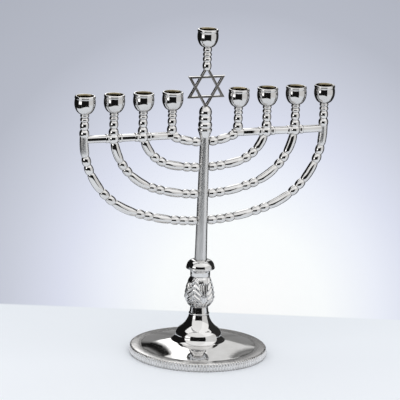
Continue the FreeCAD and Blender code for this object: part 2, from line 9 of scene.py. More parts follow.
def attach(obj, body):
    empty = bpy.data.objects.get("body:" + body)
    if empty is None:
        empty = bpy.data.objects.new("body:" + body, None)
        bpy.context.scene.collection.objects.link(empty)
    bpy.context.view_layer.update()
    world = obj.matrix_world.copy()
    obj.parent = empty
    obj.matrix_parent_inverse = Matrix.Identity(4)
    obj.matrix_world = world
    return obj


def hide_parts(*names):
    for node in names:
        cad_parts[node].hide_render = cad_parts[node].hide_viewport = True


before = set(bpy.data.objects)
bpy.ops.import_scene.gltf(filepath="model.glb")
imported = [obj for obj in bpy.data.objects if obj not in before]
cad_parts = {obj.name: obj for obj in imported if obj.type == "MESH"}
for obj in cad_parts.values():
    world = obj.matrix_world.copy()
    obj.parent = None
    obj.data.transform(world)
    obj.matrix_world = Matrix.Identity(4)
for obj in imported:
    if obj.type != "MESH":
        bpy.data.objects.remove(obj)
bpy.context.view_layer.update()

MM = 0.001
FULL_TURN = 2 * math.pi

# Where things stand, in millimetres above the table or out from the middle of the stem
OUTER_REACH = 92.45
CUP_PITCH = 22.3
CUPS_A_SIDE = 4
CUP_RIM = 199.2
SHAMASH_RIM = 244.8
CUP_HEIGHT = 13.4
RAIL_LEVEL = 166.6
STEM_FOOT = 66.0
STEM_TOP = 164.0
SPINDLE_TOP = 187.4
STAR_LEVEL = 201.9
NECK_BOTTOM = 214.6
BASE_TOP = 30.2
KNOP_BELLY_BOTTOM = 36.0
COLLAR_BOTTOM = 59.3

# The stem's taper, and the hole for the tie rod through the pieces below it
STEM_FOOT_RADIUS = 4.6
STEM_TOP_RADIUS = 3.35
ROD_HOLE_RADIUS = 2.2

# Beads, barrels and the groove between them
GROOVE_RADIUS = 2.35
BEAD_RADIUS = 3.4
BARREL_RADIUS = 3.25
BEAD_LENGTH = 6.15
OUTER_BEAD_LENGTH = 6.75
POST_RADIUS = 3.3
POST_FOOT_RADIUS = 3.65
BALL_RADIUS = 4.3
BALL_HEIGHT = 7.4
ARM_GAP = 0.16

# Rails: the section's sides are flatter than a circle's, which has a power of 2
RAIL_RADIUS = 2.65
RAIL_POWER = 2.9
RAIL_GAP = 0.03
ELBOW_START = 21.4
ELBOW_END = 29.4
COLLAR_OUT = 4.9
COLLAR_HALF_LENGTH = 1.3
COLLAR_DEPTH = 0.5

# The outer arm's finish turns satin above this level
OUTER_SATIN_FROM = 153.0

# Edges between faces at more than this angle stay sharp
SHARP_ANGLE = 35.0


# ---------------------------------------------------------------- outlines

def arc(start, end, bulge, steps=12):
    """Points from start to end, along an arc that stands out by bulge on the right of the way there."""
    (x0, y0), (x1, y1) = start, end
    chord = math.hypot(x1 - x0, y1 - y0)
    if abs(bulge) < 1e-6:
        return [start, end]
    radius = (chord * chord / 4 + bulge * bulge) / (2 * abs(bulge))
    half = math.asin(min(1.0, chord / (2 * radius)))
    if abs(bulge) > chord / 2:
        half = math.pi - half
    along = ((x1 - x0) / chord, (y1 - y0) / chord)
    right = (along[1], -along[0])
    side = math.copysign(1.0, bulge)
    points = []
    for step in range(steps + 1):
        angle = -half + 2 * half * step / steps
        forward = radius * math.sin(angle) + chord / 2
        outward = side * (radius * math.cos(angle) - radius + abs(bulge))
        points.append((x0 + along[0] * forward + right[0] * outward,
                       y0 + along[1] * forward + right[1] * outward))
    return points


def outline(corners, steps=12):
    """Join (radius, level) corners. A third number bulges the edge to the next corner by that much."""
    points = [corners[0][:2]]
    for here, there in zip(corners, corners[1:]):
        bulge = here[2] if len(here) > 2 else 0.0
        points += arc(here[:2], there[:2], bulge, steps)[1:]
    return points


def eased(step, steps):
    """The share of the way at a step, in shorter steps near both ends."""
    return (1 - math.cos(math.pi * step / steps)) / 2


def swell(share, kind, radius):
    """The radius of a bead or barrel at a share of its length. A barrel stays full for longer."""
    across = abs(2 * share - 1)
    fullness = (1 - across**2) ** 0.7 if kind == "bead" else (1 - across**3.4) ** 0.75
    return GROOVE_RADIUS + (radius - GROOVE_RADIUS) * fullness


def bead_side(bottom, beads, steps=18):
    """The side of a stack of beads, each (height, radius), from the bottom up."""
    points = [(GROOVE_RADIUS, bottom)]
    level = bottom
    for height, radius in beads:
        for step in range(1, steps + 1):
            share = eased(step, steps)
            points.append((swell(share, "bead", radius), level + height * share))
        level += height
    return points


# ---------------------------------------------------------------- meshes

def new_object(name, data):
    made = bpy.data.objects.new(name, data)
    bpy.context.scene.collection.objects.link(made)
    return made


def finish_mesh(name, vertices, faces, material, sharp=SHARP_ANGLE):
    """An object of vertices given in millimetres, smooth but for its sharp edges."""
    mesh = bpy.data.meshes.new(name)
    mesh.from_pydata([[value * MM for value in vertex] for vertex in vertices], [], faces)
    mesh.validate()
    mesh.shade_smooth()
    mesh.set_sharp_from_angle(angle=math.radians(sharp))
    mesh.materials.append(material)
    return new_object(name, mesh)


def lathe(name, points, material, at=0.0, segments=96, relief=None, sharp=SHARP_ANGLE):
    """Turn (radius, level) points about a vertical axis at x = at. Points on the axis close the end.

    relief(angle, level, radius) gives how far the surface stands out there.
    """
    vertices, rings = [], []
    for radius, level in points:
        if radius < 1e-6:
            rings.append([len(vertices)])
            vertices.append((at, 0.0, level))
            continue
        ring = []
        for step in range(segments):
            angle = FULL_TURN * step / segments
            reach = radius + (relief(angle, level, radius) if relief else 0.0)
            ring.append(len(vertices))
            vertices.append((at + reach * math.cos(angle), reach * math.sin(angle), level))
        rings.append(ring)
    faces = []
    pairs = list(zip(rings, rings[1:]))
    hollow = len(rings[0]) > 1 and len(rings[-1]) > 1
    if hollow:
        pairs.append((rings[-1], rings[0]))
    for lower, upper in pairs:
        for step in range(segments):
            after = (step + 1) % segments
            if len(lower) == 1 and len(upper) == 1:
                break
            if len(lower) == 1:
                faces.append((lower[0], upper[after], upper[step]))
            elif len(upper) == 1:
                faces.append((lower[step], lower[after], upper[0]))
            else:
                faces.append((lower[step], lower[after], upper[after], upper[step]))
    return finish_mesh(name, vertices, faces, material, sharp)


def tube(name, stations, material, segments=40, power=2.0):
    """A closed tube in the XZ plane. Each station is (point, direction, radius).

    power is 2 for a round section, and more for one with flatter sides.
    """
    vertices, rings = [], []
    for point, direction, radius in stations:
        across = Vector((-direction.z, 0, direction.x))
        ring = []
        for step in range(segments):
            angle = FULL_TURN * step / segments
            full = abs(math.cos(angle)) ** power + abs(math.sin(angle)) ** power
            reach = radius / full ** (1 / power)
            place = point + across * (reach * math.cos(angle)) + Vector((0, reach * math.sin(angle), 0))
            ring.append(len(vertices))
            vertices.append(tuple(place))
        rings.append(ring)
    faces = [tuple(rings[0]), tuple(reversed(rings[-1]))]
    for lower, upper in zip(rings, rings[1:]):
        for step in range(segments):
            after = (step + 1) % segments
            faces.append((lower[after], lower[step], upper[step], upper[after]))
    return finish_mesh(name, vertices, faces, material)


def mirrored(piece, name):
    """A copy of a piece on the other side of the stem."""
    mesh = piece.data.copy()
    mesh.transform(Matrix.Diagonal((-1, 1, 1, 1)))
    mesh.flip_normals()
    mesh.name = name
    return new_object(name, mesh)


def joined(name, pieces):
    """Several meshes as one piece."""
    with bpy.context.temp_override(active_object=pieces[0], selected_editable_objects=pieces):
        bpy.ops.object.join()
    pieces[0].name = name
    pieces[0].data.name = name
    return pieces[0]


def place(piece, slot, *nodes):
    """The piece rides on the one rigid body and stands for its CAD nodes. The slot is not used."""
    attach(piece, "root")
    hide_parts(*nodes)


def place_pair(right, name):
    """The right-hand piece and its mirror image, each for the CAD node of that name and side."""
    left = mirrored(right, f"{name}_left")
    place(right, "polished_nickel", f"{name}_right")
    place(left, "polished_nickel", f"{name}_left")


# ---------------------------------------------------------------- materials

# How fine each of the metals' patterns is: more is finer
CLOUD_SCALE = 90.0
RIPPLE_SCALE = 160.0
POLISH_SCALE = 420.0
GRAIN_SCALE = 2600.0

# Painted shade darkens a hollow by what stands within this reach, in millimetres
SHADE_REACH = 2.2


def node(tree, kind, **settings):
    made = tree.nodes.new(kind)
    for name, value in settings.items():
        setattr(made, name, value)
    return made


def feed(tree, target, socket, source):
    """Link an output to an input, or set the input if source is a plain value."""
    if isinstance(source, bpy.types.NodeSocket):
        tree.links.new(source, target.inputs[socket])
    else:
        target.inputs[socket].default_value = source


def maths(tree, operation, *values):
    made = node(tree, "ShaderNodeMath", operation=operation)
    for socket, value in enumerate(values):
        feed(tree, made, socket, value)
    return made.outputs[0]


def mapped(tree, value, low, high, to_low=0.0, to_high=1.0, smooth=False):
    made = node(tree, "ShaderNodeMapRange", interpolation_type="SMOOTHSTEP" if smooth else "LINEAR")
    for socket, source in enumerate((value, low, high, to_low, to_high)):
        feed(tree, made, socket, source)
    return made.outputs[0]


def noise(tree, coordinates, scale, detail=3.0):
    made = node(tree, "ShaderNodeTexNoise")
    feed(tree, made, "Vector", coordinates)
    feed(tree, made, "Scale", scale)
    feed(tree, made, "Detail", detail)
    feed(tree, made, "Roughness", 0.55)
    return made.outputs["Fac"]


def blended(tree, share, first, second):
    made = node(tree, "ShaderNodeMix", data_type="RGBA")
    feed(tree, made, 0, share)
    feed(tree, made, 6, first)
    feed(tree, made, 7, second)
    return made.outputs[2]


def grey(value, warmth=0.0):
    """A grey as linear light, a little towards yellow if warmth is above 0."""
    return (value * (1 + warmth), value, value * (1 - warmth), 1.0)


def metal(name, bright, dull, roughness, ripple=0.0, grain=0.0, hollow_shade=None, stretch=1.0):
    """Metal with cloudy colour, uneven polish, casting ripple and fine grain, all from object coordinates.

    roughness is the least and the most. ripple and grain are heights in millimetres. The colour for hollows
    is painted shade, blended in where ambient occlusion finds them. stretch draws the grain and the polish
    marks out along Z by that much.
    """
    material = bpy.data.materials.new(name)
    material.use_nodes = True
    tree = material.node_tree
    shader = tree.nodes["Principled BSDF"]
    place_on = node(tree, "ShaderNodeTexCoord").outputs["Object"]
    cloud = mapped(tree, noise(tree, place_on, CLOUD_SCALE), 0.3, 0.7)
    colour = blended(tree, cloud, dull, bright)
    if hollow_shade is not None:
        # Painted shade: the hollow colour is blended in where ambient occlusion finds nearby surfaces
        hollow = node(tree, "ShaderNodeAmbientOcclusion", samples=8)
        feed(tree, hollow, "Distance", SHADE_REACH * MM)
        depth = mapped(tree, hollow.outputs["AO"], 0.30, 0.70)
        colour = blended(tree, depth, hollow_shade, colour)
    feed(tree, shader, "Base Color", colour)
    feed(tree, shader, "Metallic", 1.0)
    drawn = place_on
    if stretch > 1:
        squeezed = node(tree, "ShaderNodeMapping")
        feed(tree, squeezed, "Vector", place_on)
        feed(tree, squeezed, "Scale", (1, 1, 1 / stretch))
        drawn = squeezed.outputs[0]
    polish = mapped(tree, noise(tree, drawn, POLISH_SCALE, 4.0), 0.3, 0.7, *roughness)
    feed(tree, shader, "Roughness", polish)
    height = maths(tree, "MULTIPLY", noise(tree, place_on, RIPPLE_SCALE, 2.0), ripple)
    fine = maths(tree, "MULTIPLY", noise(tree, drawn, GRAIN_SCALE, 2.0), grain)
    bump = node(tree, "ShaderNodeBump")
    feed(tree, bump, "Strength", 1.0)
    feed(tree, bump, "Distance", MM)
    feed(tree, bump, "Height", maths(tree, "ADD", height, fine))
    feed(tree, shader, "Normal", bump.outputs["Normal"])
    return material


nickel = metal("polished_nickel", grey(0.77, 0.006), grey(0.68, 0.014), (0.03, 0.09),
               ripple=0.03, grain=0.002)
satin_nickel = metal("satin_nickel", grey(0.78, 0.004), grey(0.68, 0.012), (0.26, 0.42),
                     ripple=0.02, grain=0.03, stretch=14.0)
cup_nickel = metal("cup_nickel", grey(0.72, 0.006), grey(0.64, 0.014), (0.03, 0.08),
                   ripple=0.02, grain=0.002)
# The relief, rim and antiqued metals lay painted shade in their hollows
relief_nickel = metal("relief_nickel", grey(0.80, 0.004), grey(0.66, 0.01), (0.08, 0.22),
                      ripple=0.06, grain=0.004, hollow_shade=grey(0.03, 0.05))
rim_nickel = metal("rim_nickel", grey(0.90, 0.01), grey(0.74, 0.02), (0.18, 0.36),
                   ripple=0.05, grain=0.05, hollow_shade=grey(0.06, 0.05))
# The flange's metal is the nickel made darker: painted shade
shaded_flange_nickel = metal("shaded_flange_nickel", grey(0.56, 0.01), grey(0.47, 0.014), (0.13, 0.22),
                      ripple=0.06, grain=0.004)
star_nickel = metal("antiqued_nickel", grey(0.24, 0.04), grey(0.10, 0.06), (0.14, 0.30),
                    ripple=0.05, grain=0.006, hollow_shade=grey(0.06, 0.1))
lining = metal("cup_lining", (0.34, 0.29, 0.19, 1), (0.14, 0.12, 0.075, 1), (0.18, 0.38),
               ripple=0.10, grain=0.01)
steel = metal("plated_steel", grey(0.55, 0.01), grey(0.40, 0.02), (0.22, 0.40),
              ripple=0.04, grain=0.01)


# ---------------------------------------------------------------- cups and posts

# The outside of a cup, as corners above its bottom
CUP_SIDE = [
    (3.3, 0.0, 0.34),
    (6.2, 2.4, 0.41),
    (7.75, 8.0, 0.12),
    (7.35, 11.25, 0.25),
    (7.5, 12.9, 0.12),
    (7.2, CUP_HEIGHT),
]
SOCKET_RADIUS = 5.5
SOCKET_DEPTH = 9.0
SOCKET_RINGS = 26
SOCKET_RING_DEPTH = 0.04
MOUTH_RADIUS = 6.4

# The beads of a post from its foot up, as (height, radius)
POST_BEADS = [(6.0, POST_FOOT_RADIUS), (5.7, POST_RADIUS), (3.3, POST_RADIUS), (2.7, POST_RADIUS)]


def make_cup(name, reach, rim):
    """The outside, the rolled lip and the mouth in nickel, and the ringed socket in its darker lining."""
    bottom = rim - CUP_HEIGHT
    side = [(radius, bottom + level) for radius, level in outline(CUP_SIDE)]
    mouth = arc((7.0, rim), (6.45, rim - 0.02), 0.05, 3)
    mouth += [(6.3, rim - 0.12), (SOCKET_RADIUS, rim - 0.85)]
    high = rim - 0.9
    deep = SOCKET_DEPTH - 1.1
    wall = [(SOCKET_RADIUS - SOCKET_RING_DEPTH * (ring % 2), high - deep * ring / SOCKET_RINGS)
            for ring in range(SOCKET_RINGS + 1)]
    floor = arc((SOCKET_RADIUS - 0.2, rim - SOCKET_DEPTH + 0.1), (0.0, rim - SOCKET_DEPTH), -0.3, 6)
    shell = [(0.0, bottom)] + side + mouth + wall + floor
    cup = lathe(name, shell, cup_nickel, reach, 72)
    cup.data.materials.append(lining)
    for face in cup.data.polygons:
        middle = face.center
        out = math.hypot(middle.x - reach * MM, middle.y)
        above_foot = middle.z > (bottom + 3) * MM
        if out < MOUTH_RADIUS * MM and above_foot:
            face.material_index = 1
    return cup


def make_post(name, reach):
    """A stack of beads under a cup, on a plain core that goes down into the rail's joint."""
    top = CUP_RIM - CUP_HEIGHT
    bottom = top - sum(height for height, _ in POST_BEADS)
    core = [(0.0, RAIL_LEVEL), (GROOVE_RADIUS, RAIL_LEVEL)]
    return lathe(name, core + bead_side(bottom, POST_BEADS) + [(0.0, top)], nickel, reach, 48)


# ---------------------------------------------------------------- arms

class ArmCurve:
    """An arm's centre line: a flat bottom arc from the stem, then a tighter side arc up to the post."""

    def __init__(self, reach, low, bottom_arc, side_arc):
        self.bottom_arc = bottom_arc
        self.side_arc = side_arc
        self.bottom_centre = Vector((0, 0, low + bottom_arc))
        offset = reach - side_arc
        drop = math.sqrt((bottom_arc - side_arc) ** 2 - offset**2)
        self.side_centre = Vector((offset, 0, low + bottom_arc - drop))
        self.turn = math.asin(offset / (bottom_arc - side_arc))

    def at(self, distance):
        """The point at a distance along the curve, and the direction there."""
        bottom_length = self.bottom_arc * self.turn
        if distance <= bottom_length:
            angle, centre, radius = distance / self.bottom_arc, self.bottom_centre, self.bottom_arc
        else:
            angle = self.turn + (distance - bottom_length) / self.side_arc
            centre, radius = self.side_centre, self.side_arc
        point = centre + Vector((math.sin(angle), 0, -math.cos(angle))) * radius
        return point, Vector((math.cos(angle), 0, math.sin(angle)))

    def distance_at_level(self, level):
        """How far along the side arc the curve reaches a height."""
        angle = math.acos(min(1.0, (self.side_centre.z - level) / self.side_arc))
        return self.bottom_arc * self.turn + self.side_arc * (angle - self.turn)


def arm_stations(curve, stretches):
    """The stations of a tube along the curve, for stretches given as (kind, start, end)."""
    stations = []
    for kind, start, end in stretches:
        radius = BEAD_RADIUS if kind == "bead" else BARREL_RADIUS
        steps = 14 if kind == "bead" else 26
        first = 1 if stations else 0
        for step in range(first, steps + 1):
            share = eased(step, steps)
            point, direction = curve.at(start + (end - start) * share)
            stations.append((point, direction, swell(share, kind, radius)))
    return stations


def stem_radius_at(level):
    share = (level - STEM_FOOT) / (STEM_TOP - STEM_FOOT)
    return STEM_FOOT_RADIUS + share * (STEM_TOP_RADIUS - STEM_FOOT_RADIUS)


def cup_reach(index):
    """How far out a cup stands, counted from the outer one."""
    return OUTER_REACH - CUP_PITCH * index


def stretch_list(start, end, beads, barrels, bead_length):
    """Split the curve into beads and barrels, from the stem outwards. The last barrel takes what is left."""
    pieces = []
    spot = start
    for index, count in enumerate(beads):
        for _ in range(count):
            pieces.append(("bead", spot, spot + bead_length))
            spot += bead_length
        last = index == len(beads) - 1
        far_end = end if last else spot + barrels[index]
        pieces.append(("barrel", spot, far_end))
        spot = far_end
    return pieces


# Each long arm's low point and two arc radii, and from the stem outwards the number of beads before each
# barrel and the lengths of the barrels
BARRELS = (14.4, 17.8, 16.2)
OUTER_BARRELS = (14.4, 18.9, 16.2)
ARMS = {
    "outer": dict(low=101.2, bottom_arc=160.0, side_arc=59.56, bead=OUTER_BEAD_LENGTH, beads=(3, 2, 2, 2),
                  barrels=OUTER_BARRELS),
    "second": dict(low=121.4, bottom_arc=120.3, side_arc=46.6, bead=BEAD_LENGTH, beads=(2, 2, 2),
                   barrels=BARRELS),
    "third": dict(low=141.6, bottom_arc=113.3, side_arc=29.0, bead=BEAD_LENGTH, beads=(2, 2),
                  barrels=BARRELS),
}
INNER_ARM_LOW = 160.6
INNER_BOTTOM_ARC = 60.0
INNER_SIDE_ARC = 6.0


def make_socket_foot(reach):
    """The plain upright socket at the top of an outer arm, which the rail ends in."""
    low = RAIL_LEVEL - 4.4
    high = RAIL_LEVEL + RAIL_RADIUS
    side = outline([
        (0.0, low),
        (BARREL_RADIUS - 0.06, low, 0.02),
        (BARREL_RADIUS, high - 0.6, 0.25),
        (2.7, high),
        (0.0, high),
    ])
    return lathe("foot", side, satin_nickel, reach, 48)


def make_ball(reach):
    """The ball that the rail passes through at the top of an arm."""
    low = RAIL_LEVEL - BALL_HEIGHT / 2
    side = bead_side(low, [(BALL_HEIGHT, BALL_RADIUS)], steps=24)
    return lathe("ball", [(0.0, low)] + side + [(0.0, low + BALL_HEIGHT)], nickel, reach, 56)


def make_long_arm(name, index):
    """The right-hand arm, its beads and barrels, the crossing ball or socket foot, and the post above."""
    data = ARMS[name]
    outer = name == "outer"
    reach = cup_reach(index)
    curve = ArmCurve(reach, data["low"], data["bottom_arc"], data["side_arc"])
    start = stem_radius_at(data["low"]) + ARM_GAP
    drop = 0.5 if outer else BALL_HEIGHT * 0.4
    end = curve.distance_at_level(RAIL_LEVEL - drop)
    stretches = stretch_list(start, end, data["beads"], data["barrels"], data["bead"])
    chain = tube(f"{name}_chain", arm_stations(curve, stretches), nickel)
    if outer:
        chain.data.materials.append(satin_nickel)
        for face in chain.data.polygons:
            if face.center.z > OUTER_SATIN_FROM * MM:
                face.material_index = 1
    post = make_post(f"{name}_post", reach)
    foot = make_socket_foot(reach) if outer else make_ball(reach)
    return joined(f"{name}_arm_right", [chain, foot, post])


def make_inner_arm():
    """The short arm: a bead, a barrel and a bead up to the rail, and a plain elbow out to the rail's end."""
    reach = cup_reach(CUPS_A_SIDE - 1)
    curve = ArmCurve(reach, INNER_ARM_LOW, INNER_BOTTOM_ARC, INNER_SIDE_ARC)
    start = stem_radius_at(INNER_ARM_LOW) + ARM_GAP
    end = curve.distance_at_level(RAIL_LEVEL)
    stretches = [
        ("bead", start, start + BEAD_LENGTH),
        ("barrel", start + BEAD_LENGTH, end - BEAD_LENGTH),
        ("bead", end - BEAD_LENGTH, end),
    ]
    chain = tube("inner_chain", arm_stations(curve, stretches), nickel)
    elbow = bar("inner_elbow", ELBOW_START, ELBOW_END)
    post = make_post("inner_post", reach)
    return joined("inner_arm_right", [chain, elbow, post])


def bar(name, start, end, collars=()):
    """A bar along X with softened ends. Each collar is a small bead round it, given by its middle."""
    soft_end = [(0.0, 0.25), (0.12, 0.06), (0.35, 0.0)]
    spots = [(start + inwards, RAIL_RADIUS - less) for inwards, less in soft_end]
    for middle in collars:
        for step in range(9):
            angle = math.pi * step / 8
            x = middle - COLLAR_HALF_LENGTH * math.cos(angle)
            spots.append((x, RAIL_RADIUS + COLLAR_DEPTH * math.sin(angle)))
    spots += [(end - inwards, RAIL_RADIUS - less) for inwards, less in soft_end]
    along_x = Vector((1, 0, 0))
    stations = [(Vector((x, 0, RAIL_LEVEL)), along_x, radius) for x, radius in sorted(spots)]
    return tube(name, stations, nickel, 64, power=RAIL_POWER)


def make_rail():
    """The right-hand rail from the elbow into the outer socket, with a collar each side of both balls."""
    collars = [cup_reach(index) + side * COLLAR_OUT for index in (1, 2) for side in (-1, 1)]
    inside_socket = POST_RADIUS - 2.17
    return bar("rail_right", ELBOW_END + RAIL_GAP, OUTER_REACH - inside_socket, collars)


def make_arms_and_rails():
    for index, name in enumerate(ARMS):
        place_pair(make_long_arm(name, index), f"{name}_arm")
    place_pair(make_inner_arm(), "inner_arm")
    place_pair(make_rail(), "rail")


def make_cups():
    for side, sign in (("left", -1), ("right", 1)):
        for index in range(CUPS_A_SIDE):
            reach = sign * cup_reach(index)
            node_name = f"candle_cup_{side}_{index + 1}"
            place(make_cup(f"cup_{side}_{index + 1}", reach, CUP_RIM), "cup_nickel", node_name)
    place(make_cup("cup_shamash", 0.0, SHAMASH_RIM), "cup_nickel", "shamash_cup")


# ---------------------------------------------------------------- base, knop, collar and stem

# The edge band has this many upright lobes
LOBES = 138
LOBE_HEIGHT = 0.85
LOBES_FROM_RADIUS = 49.4
BAND_TOP = 5.95

# The leaves on the knop, as shares of the carved height and relief in millimetres
LEAVES = 4
LEAF_HALF = math.radians(33)
LEAF_FOOT = 0.2
VEINS = 6.4
VEIN_SLANT = 1.35
VEIN_DEPTH = 0.48
RIB_HEIGHT = 0.35
RIB_HALF = 0.11
REEDS = 36
REED_DEPTH = 0.30
SHIELD_FROM = 0.80
TIPS = 16
TIP_HEIGHT = 0.42


def make_base():
    """The dished foot with its dome and flared neck, hollow below, then its flange and lobed edge band."""
    body = lathe("base_body", base_top() + base_underside(), nickel, segments=192, sharp=30.0)
    band = lathe("base_band", band_outline(), rim_nickel, segments=LOBES * 6, relief=band_relief, sharp=50.0)
    flange = lathe("base_flange", flange_outline(), shaded_flange_nickel, segments=192, sharp=50.0)
    return joined("base", [body, band, flange])


def base_top():
    """From under the flange, over the dish, the dome and the flared neck, to the tie rod's hole."""
    return outline([
        (49.3, 5.3),
        (43.9, 5.5),
        (43.2, 5.5, -0.15),
        (42.0, 6.3, 0.3),
        (19.8, 11.0, -0.55),
        (17.1, 15.2, 0.5),
        (14.4, 19.5, -1.3),
        (7.3, BASE_TOP),
        (ROD_HOLE_RADIUS, BASE_TOP),
    ], 28)


def base_underside():
    """The hollow, from the tie rod's hole back out to the rim that stands on the table."""
    return outline([
        (ROD_HOLE_RADIUS, 18.4),
        (9.8, 18.4, 0.4),
        (14.2, 16.6, 0.3),
        (14.9, 13.6, -0.8),
        (20.3, 7.7, -0.2),
        (41.0, 4.4),
        (43.5, 3.0),
        (48.4, 3.0),
        (48.4, 0.0),
        (50.2, 0.0),
        (50.2, 5.2),
    ], 12)


def band_outline():
    return outline([
        (49.6, 0.0),
        (50.2, 0.0, 0.35),
        (50.2, 5.0, 0.3),
        (49.3, 5.9, 0.1),
        (48.9, 5.4),
    ], 8)


def flange_outline():
    return outline([
        (49.35, 5.4),
        (49.35, 5.75, 0.2),
        (49.1, 5.95, 0.1),
        (42.25, 6.18),
        (42.25, 5.4),
    ], 8)


def band_relief(angle, level, radius):
    """Upright lobes round the edge band, with rounded heads."""
    lobe = abs(math.sin(angle * LOBES / 2))
    below_top = max(0.0, 1 - (level / BAND_TOP) ** 12)
    outer = min(1.0, max(0.0, (radius - LOBES_FROM_RADIUS) / 0.6))
    return LOBE_HEIGHT * (lobe**0.6 - 0.68) * below_top * outer


def step_up(value, threshold, steepness):
    """A soft step from 0 to 1 where the value passes the threshold."""
    return 1 / (1 + math.exp((threshold - value) * steepness))


def leaf_relief(angle, level, radius):
    """Four hanging leaves with slanting veins, reeds between them, and a ring of rounded tips below."""
    height = (level - KNOP_BELLY_BOTTOM) / (COLLAR_BOTTOM - KNOP_BELLY_BOTTOM)
    if not 0.0 < height < 1.0:
        return 0.0
    pitch = FULL_TURN / LEAVES
    off = (angle % pitch) - pitch / 2
    across = off / LEAF_HALF
    width = min(1.0, 0.35 + 1.3 * (1 - height)) if height > LEAF_FOOT else 1.0
    inside_leaf = step_up(-abs(across) / width, -0.95, 18)
    between = (1 - inside_leaf) * reed_height(height, off, pitch)
    pattern = inside_leaf * leaf_height(height, across) + between
    tips = TIP_HEIGHT * abs(math.cos(angle * TIPS / 2)) - 0.2
    above_tips = step_up(height, LEAF_FOOT, 40)
    end_fade = min(1.0, height / 0.08) * min(1.0, (1.0 - height) / 0.07)
    return end_fade * ((1 - above_tips) * tips + above_tips * pattern)


def leaf_height(height, across):
    """A middle rib, and veins that slant away from it on both sides."""
    vein = math.cos(FULL_TURN * (height * VEINS + abs(across) ** 0.8 * VEIN_SLANT))
    rib = math.exp(-((across / RIB_HALF) ** 2))
    return 0.15 + VEIN_DEPTH * vein * (1 - rib) + RIB_HEIGHT * rib


def reed_height(height, off, pitch):
    """Upright reeds between two leaves, and a plain shield above them."""
    panel_angle = (off + pitch) % pitch - pitch / 2
    shield = step_up(height, SHIELD_FROM, 60)
    return (REED_DEPTH * math.cos(panel_angle * REEDS) - 0.12) * (1 - shield) + 0.15 * shield


def make_knop():
    """A plain foot, and the belly with its leaves above it."""
    foot = outline([
        (ROD_HOLE_RADIUS, BASE_TOP),
        (7.3, BASE_TOP, 0.3),
        (7.3, 31.5),
        (7.05, 31.6),
        (6.45, KNOP_BELLY_BOTTOM),
    ], 10)
    belly = outline([
        (6.45, KNOP_BELLY_BOTTOM, 1.45),
        (10.45, 45.2, 0.65),
        (6.8, COLLAR_BOTTOM),
    ], 70)
    waist = [(ROD_HOLE_RADIUS, KNOP_BELLY_BOTTOM)]
    top = [(ROD_HOLE_RADIUS, COLLAR_BOTTOM)]
    plain = lathe("knop_foot", foot + waist, nickel, segments=96)
    carved = lathe("knop_body", waist + belly + top, relief_nickel, segments=360, relief=leaf_relief,
                   sharp=60.0)
    return joined("knop", [plain, carved])


def make_collar():
    """The domed collar, and the socket in it that the stem's foot stands in."""
    socket = STEM_FOOT_RADIUS + 0.03
    side = outline([
        (ROD_HOLE_RADIUS, COLLAR_BOTTOM),
        (7.0, COLLAR_BOTTOM, 0.15),
        (7.3, 59.8, 0.05),
        (7.3, 62.6, -0.5),
        (10.2, 65.0, 0.25),
        (10.5, 65.8, 0.2),
        (10.3, 66.4, 1.45),
        (5.3, 71.6, 0.1),
        (socket, 71.6),
    ], 16)
    inside = [(socket, STEM_FOOT), (ROD_HOLE_RADIUS, STEM_FOOT)]
    return lathe("stem_collar", side + inside, nickel, segments=120)


def make_stem():
    """The tapered stem, with the pin on top that goes into the spindle."""
    side = [(0.0, STEM_FOOT), (STEM_FOOT_RADIUS, STEM_FOOT)]
    steps = 24
    for step in range(1, steps + 1):
        level = STEM_FOOT + (STEM_TOP - STEM_FOOT) * step / steps
        side.append((stem_radius_at(level), level))
    pin_radius, pin_top = 1.6, 168.4
    side += [(pin_radius, STEM_TOP), (pin_radius, pin_top), (0.0, pin_top)]
    return lathe("stem", side, satin_nickel, segments=72)


# ---------------------------------------------------------------- spindle, star and neck

def make_spindle():
    """A ring, then a bulb between two waists, under the star."""
    side = outline([
        (1.7, STEM_TOP),
        (3.4, STEM_TOP, 0.1),
        (3.6, STEM_TOP + 0.3, -0.1),
        (5.1, 168.8, 0.15),
        (5.1, 170.7, 0.1),
        (4.2, 170.9, 0.95),
        (4.2, 175.9, 0.6),
        (4.2, 180.4, 1.35),
        (2.2, SPINDLE_TOP),
    ], 14)
    return lathe("shamash_spindle", side + [(0.0, SPINDLE_TOP)], nickel, segments=72)


STAR_RADIUS = 16.3
STAR_BAR = 1.65
STAR_HALF_THICKNESS = 1.2
STAR_EDGE = 0.28
THIRTY_DEGREES = math.radians(30)


def ring_of(count, first_degrees, radii):
    """Corners evenly spaced round a circle, at the radii in turn."""
    corners = []
    for index in range(count):
        angle = math.radians(first_degrees + index * 360 / count)
        reach = radii[index % len(radii)]
        corners.append((reach * math.cos(angle), reach * math.sin(angle)))
    return corners


def turned(corners, angle):
    cosine, sine = math.cos(angle), math.sin(angle)
    return [(x * cosine - y * sine, x * sine + y * cosine) for x, y in corners]


def star_outlines():
    """The outside of two crossed triangles, the six-sided window and the six small three-sided ones."""
    outside = ring_of(12, 90, (STAR_RADIUS, STAR_RADIUS / math.sqrt(3)))
    middle = ring_of(6, 0, ((STAR_RADIUS / 2 - STAR_BAR) / math.cos(THIRTY_DEGREES),))
    tip = STAR_RADIUS - STAR_BAR * 2
    foot = STAR_RADIUS / 2
    half = (tip - foot) * math.tan(THIRTY_DEGREES)
    window = [(0.0, tip), (-half, foot), (half, foot)]
    return [outside, middle] + [turned(window, math.radians(60 * index)) for index in range(6)]


def star_curve():
    """The pierced outline as a flat filled curve, thick and with rounded edges."""
    curve = bpy.data.curves.new("star_of_david", "CURVE")
    curve.dimensions = "2D"
    curve.fill_mode = "BOTH"
    curve.extrude = (STAR_HALF_THICKNESS - STAR_EDGE) * MM
    curve.bevel_depth = STAR_EDGE * MM
    curve.bevel_resolution = 3
    curve.offset = -STAR_EDGE * MM
    for corners in star_outlines():
        spline = curve.splines.new("POLY")
        spline.points.add(len(corners) - 1)
        for point, (x, z) in zip(spline.points, corners):
            point.co = (x * MM, z * MM, 0, 1)
        spline.use_cyclic_u = True
    return curve


